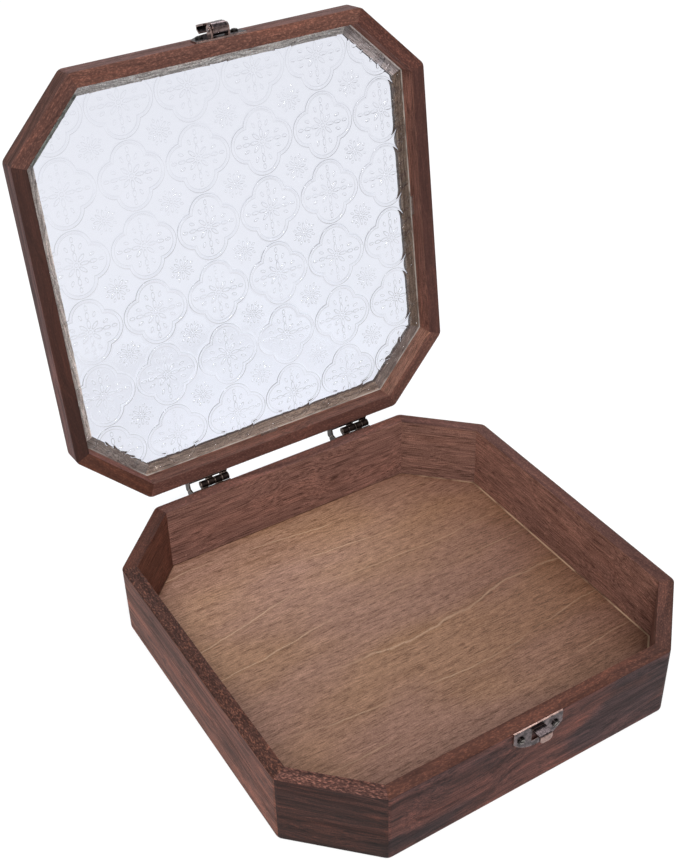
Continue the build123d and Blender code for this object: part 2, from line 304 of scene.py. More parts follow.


# outside, rim and inside stain, each with painted light and shade for that face, then how blotched the board
# is and how speckled its rim
wall_stain_and_shade = {
    "front_left": ((0.037, 0.012, 0.008), (0.094, 0.037, 0.027), (0.170, 0.080, 0.060), 0.5, 0.9),
    "front": ((0.073, 0.026, 0.020), (0.077, 0.027, 0.017), (0.170, 0.080, 0.060), 1.0, 0.35),
    "front_right": ((0.068, 0.031, 0.024), (0.086, 0.033, 0.023), (0.170, 0.080, 0.060), 0.5, 0.4),
    "right": ((0.072, 0.032, 0.025), (0.085, 0.034, 0.026), (0.229, 0.112, 0.083), 0.4, 0.3),
    "back_right": ((0.068, 0.031, 0.024), (0.120, 0.051, 0.040), (0.185, 0.094, 0.071), 0.4, 0.3),
    "back": ((0.072, 0.032, 0.026), (0.111, 0.045, 0.033), (0.199, 0.100, 0.078), 0.5, 0.35),
    "back_left": ((0.068, 0.030, 0.023), (0.067, 0.021, 0.012), (0.139, 0.052, 0.034), 0.4, 0.35),
    "left": ((0.132, 0.046, 0.029), (0.055, 0.020, 0.013), (0.170, 0.080, 0.060), 0.25, 0.9),
}
for index, side in enumerate(sides):
    name = "wall_" + side
    turn = Matrix.Rotation(board_angle(index), 3, "Z")
    outward = turn @ Vector((0, -1, 0))
    outside, rim, inside, blotch, speckle = wall_stain_and_shade[side]

    def wall_tone(normal, place, outward=outward, outside=outside, rim=rim, inside=inside):
        if normal.z > 0.5:
            return rim, 1.0, 0.5
        return (inside, 0.0, 0.15) if normal.dot(outward) < -0.5 else (outside, 0.0, 1.0)

    board = eased(name, board_arris, on_mitre)
    stain_and_shade_faces(board, wall_tone)
    finish = stained_wood("walnut " + name, turn, middle(name), 3.1 + index * 1.7, blotch, speckle)
    finish_piece(board, name, "base", finish)

# ---------------------------------------------------------------------------------------------------------
# Floor panel. One sheet of thin poplar plywood in the rabbet under the walls, face grain from side to side,
# wiped with the same stain, which takes much lighter on it.
# ---------------------------------------------------------------------------------------------------------
def from_edge(tree, x, y, inset):
    """How far a place on a flat sheet lies inside the octagon drawn at that inset."""
    reach = half_width - inset
    cut = 2 * reach - (corner_cut - inset * (2 - sqrt(2)))
    far_x, far_y = maths(tree, "ABSOLUTE", x), maths(tree, "ABSOLUTE", y)
    corner = maths(
        tree, "MULTIPLY", maths(tree, "SUBTRACT", cut, maths(tree, "ADD", far_x, far_y)), sqrt(0.5)
    )
    side = maths(tree, "SUBTRACT", reach, maths(tree, "MAXIMUM", far_x, far_y))
    return maths(tree, "MINIMUM", side, corner)


def panel_wood():
    material = bpy.data.materials.new("stained plywood")
    material.use_nodes = True
    tree = material.node_tree
    shader = tree.nodes["Principled BSDF"]
    shader.inputs["Specular IOR Level"].default_value = 0.22
    place = node_in(tree, "ShaderNodeTexCoord").outputs["Object"]
    parts = node_in(tree, "ShaderNodeSeparateXYZ", {0: place})
    across, back = parts.outputs["X"], parts.outputs["Y"]
    clouds = drawn_out(tree, place, (9.0, 19.0, 10.0), 2.0, 0.5)
    fibres = drawn_out(tree, place, (260.0, 2500.0, 500.0), 2.0, 0.55)
    streaks = drawn_out(tree, place, (28.0, 420.0, 100.0), 3.0, 0.6)
    grit = drawn_out(tree, place, (1900.0, 1900.0, 1900.0), 2.0, 0.5)
    drift = drawn_out(tree, place, (5.5, 10.0, 1.0), 1.0, 0.4)
    wobble = drawn_out(tree, place, (38.0, 38.0, 1.0), 3.0, 0.6)
    rise = maths(tree, "ADD", maths(tree, "MULTIPLY", back, 46.0), maths(tree, "MULTIPLY", drift, 2.3))
    rise = maths(tree, "ADD", rise, maths(tree, "MULTIPLY", wobble, 0.26))
    line = maths(tree, "PINGPONG", rise, 0.5)
    patches = drawn_out(tree, place, (15.0, 24.0, 1.0), 2.0, 0.5)
    shown = maths(
        tree, "MULTIPLY", between(tree, line, 0.024, 0.004), between(tree, patches, 0.42, 0.58, 0.1, 0.8)
    )
    shown = maths(tree, "MULTIPLY", shown, between(tree, grit, 0.36, 0.52, 0.3, 1.0))
    beside = maths(
        tree,
        "MULTIPLY",
        between(tree, line, 0.03, 0.14, 1.0, 0.0),
        between(tree, patches, 0.42, 0.6, 0.1, 0.5),
    )

    def shade(colour, amount, times):
        return mixed(tree, amount, colour, times, "MULTIPLY")

    colour = mixed(tree, between(tree, clouds, 0.4, 0.62), (0.236, 0.131, 0.092), (0.250, 0.139, 0.083))
    colour = shade(colour, between(tree, streaks, 0.5, 0.7), (0.86, 0.83, 0.8))
    colour = shade(colour, between(tree, streaks, 0.5, 0.3), (1.13, 1.14, 1.15))
    colour = shade(colour, between(tree, fibres, 0.52, 0.68), (0.52, 0.46, 0.42))
    colour = shade(colour, between(tree, fibres, 0.5, 0.32), (1.3, 1.33, 1.36))
    colour = shade(colour, between(tree, grit, 0.5, 0.64), (0.82, 0.8, 0.79))
    colour = shade(colour, between(tree, grit, 0.5, 0.36), (1.16, 1.17, 1.18))
    colour = shade(colour, beside, (0.9, 0.86, 0.78))
    colour = mixed(tree, shown, colour, (0.42, 0.285, 0.19))
    spots = node_in(tree, "ShaderNodeTexVoronoi", {"Vector": place, "Scale": 26.0}, feature="F1")
    holes = maths(
        tree,
        "MULTIPLY",
        between(tree, spots.outputs["Distance"], 0.026, 0.014),
        between(tree, grit, 0.3, 0.5),
    )
    colour = mixed(tree, maths(tree, "MULTIPLY", holes, 0.8), colour, (0.05, 0.025, 0.015))
    # painted shade darkens the floor towards the right and the front, and painted light brightens it towards
    # the back
    colour = shade(colour, between(tree, across, -0.01, 0.1, 0.0, 0.95), (0.66, 0.58, 0.54))
    colour = shade(colour, between(tree, back, 0.05, -0.09), (0.8, 0.78, 0.8))
    colour = shade(colour, between(tree, back, 0.02, 0.09), (1.26, 1.28, 1.3))
    # painted shade darkens the floor against the walls, with a dark painted line at the joint, and on the
    # right a little glue stands along the joint
    away = from_edge(tree, across, back, wall_thick)
    colour = shade(colour, between(tree, away, 0.005, 0.0005, 0.0, 0.8), (0.78, 0.72, 0.68))
    colour = shade(colour, between(tree, away, 0.0007, 0.0003), (0.3, 0.25, 0.22))
    glue = maths(tree, "MULTIPLY", between(tree, away, 0.0011, 0.0006), between(tree, across, 0.04, 0.075))
    glue = maths(tree, "MULTIPLY", glue, between(tree, wobble, 0.42, 0.56, 0.1, 0.85))
    colour = mixed(tree, glue, colour, (0.38, 0.25, 0.16))
    tree.links.new(colour, shader.inputs["Base Color"])
    tree.links.new(between(tree, fibres, 0.2, 0.8, 0.7, 0.56), shader.inputs["Roughness"])
    raised = node_in(tree, "ShaderNodeBump", {"Strength": 0.45, "Distance": 0.0001, "Height": fibres})
    tree.links.new(raised.outputs[0], shader.inputs["Normal"])
    return material


finish_piece(eased("floor_panel", 0.0002), "floor_panel", "base", panel_wood())

# ---------------------------------------------------------------------------------------------------------
# Lid rails. The same walnut boards, with a lip left at the outside face to carry the glass. The lip's inner
# face is painted with light and shade, side by side, where it shows through the edge of the glass, and the
# lip's inward edge round the glass is painted dark as shadow.
# ---------------------------------------------------------------------------------------------------------
lid_open = 98.0
lid_tilt = -radians(lid_open)
hinge_line = Vector((0.0, 0.1032, 0.0361))
swing = Matrix.Translation(hinge_line) @ Matrix.Rotation(lid_tilt, 4, "X") @ Matrix.Translation(-hinge_line)
shut = swing.inverted()
lip_inner = 0.0467
lip_slack = 0.0008


def on_lid_mitre(place):
    return on_mitre(shut @ place)


# outside, rim and inside stain, each with painted light and shade for that face, then how blotched the board
# is and how speckled its rim
rail_stain_and_shade = {
    "front_left": ((0.062, 0.029, 0.023), (0.078, 0.033, 0.025), (0.200, 0.090, 0.070), 0.5, 0.35),
    "front": ((0.120, 0.059, 0.052), (0.117, 0.048, 0.034), (0.200, 0.090, 0.070), 0.5, 0.4),
    "front_right": ((0.072, 0.034, 0.026), (0.071, 0.025, 0.018), (0.200, 0.090, 0.070), 0.3, 0.4),
    "right": ((0.072, 0.032, 0.025), (0.064, 0.023, 0.017), (0.126, 0.053, 0.038), 0.3, 0.2),
    "back_right": ((0.068, 0.031, 0.024), (0.092, 0.040, 0.030), (0.158, 0.076, 0.053), 0.3, 0.3),
    "back": ((0.072, 0.032, 0.026), (0.108, 0.044, 0.033), (0.101, 0.041, 0.028), 0.3, 0.3),
    "back_left": ((0.065, 0.029, 0.021), (0.075, 0.027, 0.017), (0.170, 0.070, 0.055), 0.3, 0.25),
    "left": ((0.097, 0.037, 0.031), (0.038, 0.014, 0.010), (0.160, 0.070, 0.055), 0.3, 0.15),
}
# painted light and shade on the lip's inner face, side by side, as it shows through the glass
lip_light_and_shade = {
    "front_left": (0.413, 0.447, 0.371),
    "front": (0.920, 0.857, 0.773),
    "front_right": (0.499, 0.413, 0.376),
    "right": (0.129, 0.088, 0.062),
    "back_right": (0.119, 0.087, 0.071),
    "back": (0.165, 0.118, 0.090),
    "back_left": (0.185, 0.149, 0.128),
    "left": (0.549, 0.474, 0.413),
}
# painted shadow on the lip's inward edge round the glass
rabbet_painted_shadow = (0.055, 0.04, 0.032)
for index, side in enumerate(sides):
    name = "rail_" + side
    lay = Matrix.Rotation(board_angle(index), 3, "Z")
    outward = lay @ Vector((0, -1, 0))
    outside, rim, inside, blotch, speckle = rail_stain_and_shade[side]

    def rail_tone(
        normal, place, outward=outward, outside=outside, rim=rim, inside=inside, lip_lit=lip_light_and_shade[side]
    ):
        normal = shut.to_3x3() @ normal
        on_lip = (shut @ place).z > lip_inner - lip_slack
        if normal.z < -0.5:
            return (lip_lit, 0.0, 0.2) if on_lip else (rim, 1.0, 0.4)
        if normal.dot(outward) < -0.5:
            return (rabbet_painted_shadow, 0.0, 0.2) if on_lip else (inside, 0.0, 0.3)
        return outside, 0.0, 0.7

    board = eased(name, board_arris, on_lid_mitre)
    stain_and_shade_faces(board, rail_tone)
    turn = Matrix.Rotation(lid_tilt, 3, "X") @ lay
    finish = stained_wood("walnut " + name, turn, middle(name), 21.4 + index * 1.3, blotch, speckle)
    finish_piece(board, name, "lid", finish)

# ---------------------------------------------------------------------------------------------------------
# Pane. Clear rolled glass with a pattern pressed into its inner face: four-lobed medallions in a square
# lattice, each with petals round a bead, and small eight-petalled flowers between them.
# ---------------------------------------------------------------------------------------------------------
pane_low = 0.0442
pane_high = 0.0467
pane_inset = 0.007
pattern_pitch = 0.0318
pattern_start = (0.0164, 0.0134)
relief_depth = 0.0004
lobe_offset = 0.007
lobe_radius = 0.008


def bell(tree, distance, width):
    return between(tree, maths(tree, "ABSOLUTE", distance), width, 0.0)


def petals(tree, radius, lean, count, start, length, width, phase=0.0):
    """A ring of petals; the value falls from 1 at a petal's middle to 0 at its edge, and goes on below."""
    local = maths(tree, "PINGPONG", maths(tree, "SUBTRACT", lean, phase), pi / count)
    along = maths(tree, "SUBTRACT", maths(tree, "MULTIPLY", radius, maths(tree, "COSINE", local)), start)
    beside = maths(tree, "MULTIPLY", radius, maths(tree, "SINE", local))
    along = maths(tree, "POWER", maths(tree, "DIVIDE", maths(tree, "ABSOLUTE", along), length), 2.0)
    beside = maths(tree, "POWER", maths(tree, "DIVIDE", beside, width), 2.0)
    return maths(tree, "SUBTRACT", 1.0, maths(tree, "SQRT", maths(tree, "ADD", along, beside)))


def polar(tree, u, v):
    radius = maths(
        tree, "SQRT", maths(tree, "ADD", maths(tree, "MULTIPLY", u, u), maths(tree, "MULTIPLY", v, v))
    )
    return radius, maths(tree, "ARCTAN2", v, u)


def medallions(tree, x, y):
    """Signed distance from the four-lobed outlines, and the petals and flowers inside and between them."""
    half = pattern_pitch / 2
    u = maths(tree, "WRAP", maths(tree, "SUBTRACT", x, pattern_start[0]), half, -half)
    v = maths(tree, "WRAP", maths(tree, "SUBTRACT", y, pattern_start[1]), half, -half)
    au, av = maths(tree, "ABSOLUTE", u), maths(tree, "ABSOLUTE", v)
    one = polar(tree, maths(tree, "SUBTRACT", au, lobe_offset), av)[0]
    two = polar(tree, au, maths(tree, "SUBTRACT", av, lobe_offset))[0]
    outline = maths(tree, "SUBTRACT", maths(tree, "MINIMUM", one, two), lobe_radius)
    radius, lean = polar(tree, u, v)
    inner = petals(tree, radius, lean, 8, 0.0038, 0.0021, 0.0008)
    for ring in (
        (4, 0.0079, 0.0017, 0.0008, 0.0),
        (8, 0.0085, 0.0013, 0.0006, pi / 8),
        (4, 0.0116, 0.0013, 0.0007, 0.0),
        (1, 0.0, 0.0010, 0.0010, 0.0),
    ):
        inner = maths(tree, "MAXIMUM", inner, petals(tree, radius, lean, *ring))
    s = maths(tree, "WRAP", maths(tree, "ADD", u, half), half, -half)
    t = maths(tree, "WRAP", maths(tree, "ADD", v, half), half, -half)
    far, turn = polar(tree, s, t)
    for ring in (
        (8, 0.0031, 0.0017, 0.0006, 0.0), (8, 0.0052, 0.0009, 0.0005, pi / 8), (1, 0.0, 0.0008, 0.0008, 0.0)
    ):
        inner = maths(tree, "MAXIMUM", inner, petals(tree, far, turn, *ring))
    return outline, inner, u, v, radius


def bitten(tree, x, y):
    """How hard the roller bit: least at the left front corner, full towards the back of the lid."""
    run = maths(tree, "ADD", maths(tree, "MULTIPLY", x, 0.5), maths(tree, "MULTIPLY", y, 0.9))
    return between(tree, run, -0.13, 0.03, 0.24, 1.0)


def relief_tree():
    """Raises the pressed pattern on the face marked 'pressed'."""
    tree = bpy.data.node_groups.new("pressed pattern", "GeometryNodeTree")
    tree.interface.new_socket("Geometry", in_out="INPUT", socket_type="NodeSocketGeometry")
    tree.interface.new_socket("Depth", in_out="INPUT", socket_type="NodeSocketFloat")
    tree.interface.new_socket("Glass", in_out="INPUT", socket_type="NodeSocketMaterial")
    tree.interface.new_socket("Geometry", in_out="OUTPUT", socket_type="NodeSocketGeometry")
    given, result = tree.nodes.new("NodeGroupInput"), tree.nodes.new("NodeGroupOutput")
    place = node_in(
        tree, "ShaderNodeSeparateXYZ", {0: node_in(tree, "GeometryNodeInputPosition").outputs[0]}
    )
    outline, inner, *_ = medallions(tree, place.outputs["X"], place.outputs["Y"])
    rib = bell(tree, outline, 0.0011)
    raised = maths(tree, "MAXIMUM", rib, between(tree, inner, -0.2, 0.5, 0.0, 0.8))
    marked = node_in(
        tree, "GeometryNodeInputNamedAttribute", {0: "pressed"}, data_type="FLOAT"
    ).outputs["Attribute"]
    bite_and_painted_shade = bitten(tree, place.outputs["X"], place.outputs["Y"])
    raised = maths(tree, "MULTIPLY", raised, maths(tree, "MULTIPLY_ADD", bite_and_painted_shade, 0.75, 0.25))
    drop = maths(tree, "MULTIPLY", maths(tree, "MULTIPLY", raised, marked), given.outputs["Depth"])
    drop = maths(tree, "MULTIPLY", drop, -1.0)
    offset = node_in(tree, "ShaderNodeCombineXYZ", {2: drop}).outputs[0]
    moved = node_in(
        tree, "GeometryNodeSetPosition", {"Geometry": given.outputs["Geometry"], "Offset": offset}
    )
    real = node_in(tree, "GeometryNodeRealizeInstances", {0: moved.outputs[0]})
    dressed = node_in(tree, "GeometryNodeSetMaterial", {"Geometry": real.outputs[0]})
    tree.links.new(given.outputs["Glass"], dressed.inputs["Material"])
    tree.links.new(dressed.outputs[0], result.inputs[0])
    return tree


def grown_mesh(carrier, tree, **inputs):
    """Runs a geometry tree on an object and gives the plain mesh."""
    modifier = carrier.modifiers.new("Grow", "NODES")
    modifier.node_group = tree
    for socket in tree.interface.items_tree:
        if socket.item_type == "SOCKET" and socket.in_out == "INPUT" and socket.name in inputs:
            modifier[socket.identifier] = inputs[socket.name]
    depsgraph = bpy.context.evaluated_depsgraph_get()
    mesh = bpy.data.meshes.new_from_object(carrier.evaluated_get(depsgraph))
    carrier.modifiers.remove(modifier)
    bpy.data.objects.remove(carrier)
    return mesh


def flat_pane():
    """The cut sheet, its inner face divided finely enough to take the pattern."""
    a = half_width - pane_inset
    c = corner_cut - pane_inset * (2 - sqrt(2))
    count = 296
    steps = np.linspace(-a, a, count + 1)
    gx, gy = np.meshgrid(steps, steps)
    over = np.abs(gx) + np.abs(gy) - (2 * a - c)
    slide = np.maximum(over, 0) / 2
    px, py = gx - np.sign(gx) * slide, gy - np.sign(gy) * slide
    edge = np.minimum.reduce(
        [a - np.abs(px), a - np.abs(py), (2 * a - c - np.abs(px) - np.abs(py)) / sqrt(2)]
    )
    bm = bmesh.new()
    pressed = bm.verts.layers.float.new("pressed")
    keep = over < (steps[1] - steps[0]) * 1.01
    face = {}
    for j in range(count + 1):
        for i in range(count + 1):
            if keep[j, i]:
                vert = face[i, j] = bm.verts.new((px[j, i], py[j, i], pane_low + relief_depth))
                vert[pressed] = min(max((edge[j, i] - 0.0004) / 0.0006, 0.0), 1.0)
    for j in range(count):
        for i in range(count):
            held = [face[k] for k in ((i, j), (i, j + 1), (i + 1, j + 1), (i + 1, j)) if k in face]
            if len(held) > 2:
                bm.faces.new(held)
    bmesh.ops.remove_doubles(bm, verts=bm.verts, dist=1e-5)
    grown = bmesh.ops.extrude_edge_only(bm, edges=[e for e in bm.edges if e.is_boundary])["geom"]
    for vert in grown:
        if isinstance(vert, bmesh.types.BMVert):
            vert.co.z = pane_high
            vert[pressed] = 0.0
    bmesh.ops.holes_fill(bm, edges=[e for e in grown if isinstance(e, bmesh.types.BMEdge)], sides=0)
    bmesh.ops.recalc_face_normals(bm, faces=bm.faces)
    mesh = bpy.data.meshes.new("flat_pane")
    bm.to_mesh(mesh)
    bm.free()
    sheet = bpy.data.objects.new("flat_pane", mesh)
    bpy.context.scene.collection.objects.link(sheet)
    return sheet


def pressed_glass():
    material = bpy.data.materials.new("pressed glass")
    material.use_nodes = True
    tree = material.node_tree
    shader = tree.nodes["Principled BSDF"]
    shader.inputs["Metallic"].default_value = 0.0
    shader.inputs["Transmission Weight"].default_value = 1.0
    shader.inputs["IOR"].default_value = 1.5
    place = node_in(tree, "ShaderNodeTexCoord").outputs["Object"]
    lie = node_in(
        tree,
        "ShaderNodeMapping",
        {"Vector": place, "Location": tuple(swing @ Vector((0, 0, 0))), "Rotation": (lid_tilt, 0, 0)},
        vector_type="TEXTURE",
    ).outputs[0]
    flat = node_in(tree, "ShaderNodeSeparateXYZ", {0: lie})
    outline, inner, u, v, radius = medallions(tree, flat.outputs["X"], flat.outputs["Y"])
    inner_face = node_in(tree, "ShaderNodeAttribute", attribute_name="pressed").outputs["Fac"]
    # painted shade: the dark crease lines are stronger on the flanks along one diagonal
    bite_and_painted_shade = maths(tree, "DIVIDE", maths(tree, "ADD", u, v), maths(tree, "ADD", radius, 0.0005))
    bite_and_painted_shade = between(tree, maths(tree, "ABSOLUTE", bite_and_painted_shade), 0.3, 1.3, 0.4, 1.0)
    wear_and_highlight = drawn_out(tree, lie, (60.0, 60.0, 60.0), 2.0)
    sweep = bitten(tree, flat.outputs["X"], flat.outputs["Y"])
    crease_shade_strength = maths(tree, "MULTIPLY", bite_and_painted_shade, sweep)
    crease_shade_strength = maths(tree, "MULTIPLY", crease_shade_strength, between(tree, wear_and_highlight, 0.3, 0.6, 0.35, 1.0))
    # painted shade: dark lines along the ribs of the pressed pattern and round its petals
    painted_crease_shade = bell(tree, maths(tree, "SUBTRACT", outline, 0.0005), 0.00028)
    painted_crease_shade = maths(
        tree,
        "MAXIMUM",
        painted_crease_shade,
        maths(tree, "MULTIPLY", bell(tree, maths(tree, "ADD", outline, 0.0010), 0.00026), 0.6),
    )
    painted_crease_shade = maths(tree, "MULTIPLY", painted_crease_shade, crease_shade_strength)
    leaf_edge_shade = maths(
        tree,
        "MULTIPLY",
        bell(tree, maths(tree, "SUBTRACT", inner, 0.05), 0.24),
        between(tree, wear_and_highlight, 0.3, 0.65, 0.15, 0.6),
    )
    leaf_edge_shade = maths(tree, "MULTIPLY", leaf_edge_shade, sweep)
    painted_crease_shade = maths(tree, "MULTIPLY", maths(tree, "MAXIMUM", painted_crease_shade, leaf_edge_shade), inner_face)
    colour = mixed(tree, painted_crease_shade, (0.752, 0.768, 0.836), (0.05, 0.055, 0.07))
    tree.links.new(colour, shader.inputs["Base Color"])
    stipple = drawn_out(tree, lie, (1100.0, 1100.0, 300.0), 2.0)
    tree.links.new(between(tree, stipple, 0.3, 0.7, 0.0, 0.05), shader.inputs["Roughness"])
    height = maths(tree, "MAXIMUM", bell(tree, outline, 0.0007), between(tree, inner, -0.1, 0.4, 0.0, 0.8))
    height = maths(tree, "MULTIPLY", height, maths(tree, "MULTIPLY_ADD", sweep, 0.85, 0.15))
    height = maths(
        tree, "MULTIPLY", maths(tree, "ADD", height, maths(tree, "MULTIPLY", stipple, 0.09)), inner_face
    )
    raised = node_in(tree, "ShaderNodeBump", {"Strength": 0.55, "Distance": 0.0004, "Height": height})
    tree.links.new(raised.outputs[0], shader.inputs["Normal"])
    # painted light: a glow along the ground edge of the pane
    inset = from_edge(tree, flat.outputs["X"], flat.outputs["Y"], pane_inset)
    edge = maths(
        tree, "MULTIPLY", between(tree, inset, 0.0009, 0.0004), between(tree, wear_and_highlight, 0.35, 0.55, 0.1, 0.8)
    )
    painted_edge_glow = mixed(tree, edge, (0.0, 0.0, 0.0), (0.15, 0.14, 0.125))
    tree.links.new(painted_edge_glow, shader.inputs["Emission Color"])
    shader.inputs["Emission Strength"].default_value = 1.0
    clear = node_in(tree, "ShaderNodeBsdfTransparent", {"Color": (0.9, 0.93, 0.95, 1.0)})
    path = node_in(tree, "ShaderNodeLightPath")
    both = node_in(tree, "ShaderNodeMixShader", {0: path.outputs["Is Shadow Ray"]})
    tree.links.new(shader.outputs[0], both.inputs[1])
    tree.links.new(clear.outputs[0], both.inputs[2])
    tree.links.new(both.outputs[0], tree.nodes["Material Output"].inputs["Surface"])
    return material


glass = pressed_glass()
pane_mesh = grown_mesh(flat_pane(), relief_tree(), Depth=relief_depth, Glass=glass)
pane_mesh.transform(swing)
for polygon in pane_mesh.polygons:
    polygon.use_smooth = True
pane_mesh.set_sharp_from_angle(angle=radians(60))
pane = bpy.data.objects.new("pressed_pane", pane_mesh)
bpy.context.scene.collection.objects.link(pane)
finish_piece(pane, "glass_pane", "lid", glass)

# ---------------------------------------------------------------------------------------------------------
# Glazing points. Four flat strips of bright steel, cut from sheet and pushed into the rails over the edge
# of the glass, which they hold down on the lip.
# ---------------------------------------------------------------------------------------------------------
def metal_group():
    """Plated or bare metal: a mottled skin over the metal beneath, which shows where it is rubbed and where
    edge highlights are painted.
    """
    group = bpy.data.node_groups.new("metal skin", "ShaderNodeTree")
    for label, kind in (
        ("Vector", "NodeSocketVector"),
        ("Dark", "NodeSocketColor"),
        ("Skin", "NodeSocketColor"),
        ("Beneath", "NodeSocketColor"),
        ("Wear_and_highlight", "NodeSocketFloat"),
        ("Polish", "NodeSocketFloat"),
    ):
        group.interface.new_socket(label, in_out="INPUT", socket_type=kind)
    for label, kind in (
        ("Color", "NodeSocketColor"), ("Roughness", "NodeSocketFloat"), ("Height", "NodeSocketFloat")
    ):
        group.interface.new_socket(label, in_out="OUTPUT", socket_type=kind)
    given, result = group.nodes.new("NodeGroupInput"), group.nodes.new("NodeGroupOutput")
    place = given.outputs["Vector"]
    stain = drawn_out(group, place, (520.0, 520.0, 520.0), 4.0, 0.6)
    grit = drawn_out(group, place, (2600.0, 2600.0, 2600.0), 3.0, 0.6)
    colour = mixed(group, between(group, stain, 0.35, 0.68), given.outputs["Dark"], given.outputs["Skin"])
    # rubbed places show the metal beneath: wear, and painted highlights along the edges
    rubbed_and_highlit = maths(
        group, "MULTIPLY", given.outputs["Wear_and_highlight"], between(group, stain, 0.3, 0.55, 0.4, 1.0), clamp=True
    )
    colour = mixed(group, rubbed_and_highlit, colour, given.outputs["Beneath"])
    group.links.new(colour, result.inputs["Color"])
    dull = maths(group, "SUBTRACT", 1.0, given.outputs["Polish"])
    group.links.new(
        maths(group, "ADD", dull, between(group, grit, 0.25, 0.75, -0.06, 0.12)), result.inputs["Roughness"]
    )
    group.links.new(
        maths(group, "ADD", grit, maths(group, "MULTIPLY", stain, 1.5)), result.inputs["Height"]
    )
    return group


metal_skin = metal_group()


def metal(name, dark, skin, beneath, polish):
    material = bpy.data.materials.new(name)
    material.use_nodes = True
    tree = material.node_tree
    shader = tree.nodes["Principled BSDF"]
    shader.inputs["Metallic"].default_value = 1.0
    made = node_in(tree, "ShaderNodeGroup", node_tree=metal_skin)
    tree.links.new(node_in(tree, "ShaderNodeTexCoord").outputs["Object"], made.inputs["Vector"])
    tree.links.new(
        node_in(tree, "ShaderNodeAttribute", attribute_name="wear_and_highlight").outputs["Fac"], made.inputs["Wear_and_highlight"]
    )
    for label, value in (
        ("Dark", (*dark, 1.0)), ("Skin", (*skin, 1.0)), ("Beneath", (*beneath, 1.0)), ("Polish", polish)
    ):
        made.inputs[label].default_value = value
    tree.links.new(made.outputs["Color"], shader.inputs["Base Color"])
    tree.links.new(made.outputs["Roughness"], shader.inputs["Roughness"])
    raised = node_in(
        tree, "ShaderNodeBump", {"Strength": 0.35, "Distance": 0.00004, "Height": made.outputs["Height"]}
    )
    tree.links.new(raised.outputs[0], shader.inputs["Normal"])
    return material


steel = metal("glazing steel", (0.55, 0.55, 0.53), (0.75, 0.75, 0.73), (0.9, 0.9, 0.88), 0.7)
finish_piece(eased("glazing_points", 0.00008), "glazing_points", "lid", steel)

# ---------------------------------------------------------------------------------------------------------
# Hinges. Stamped and rolled brass with a dark bronze plating, each turning on a plain wire rod. The screws
# are small slotted pan heads, blackened.
# ---------------------------------------------------------------------------------------------------------
bronze = metal("dark bronze", (0.016, 0.011, 0.01), (0.046, 0.032, 0.027), (0.4, 0.3, 0.25), 0.62)
blackened = metal("blackened steel", (0.008, 0.007, 0.007), (0.03, 0.027, 0.026), (0.3, 0.27, 0.25), 0.74)
for hand in ("left", "right"):
    for part, body in (("base_leaf", "base"), ("lid_leaf", "lid"), ("pin", "base")):
        name = f"hinge_{hand}_{part}"
        finish_piece(eased(name, 0.00012), name, body, bronze)


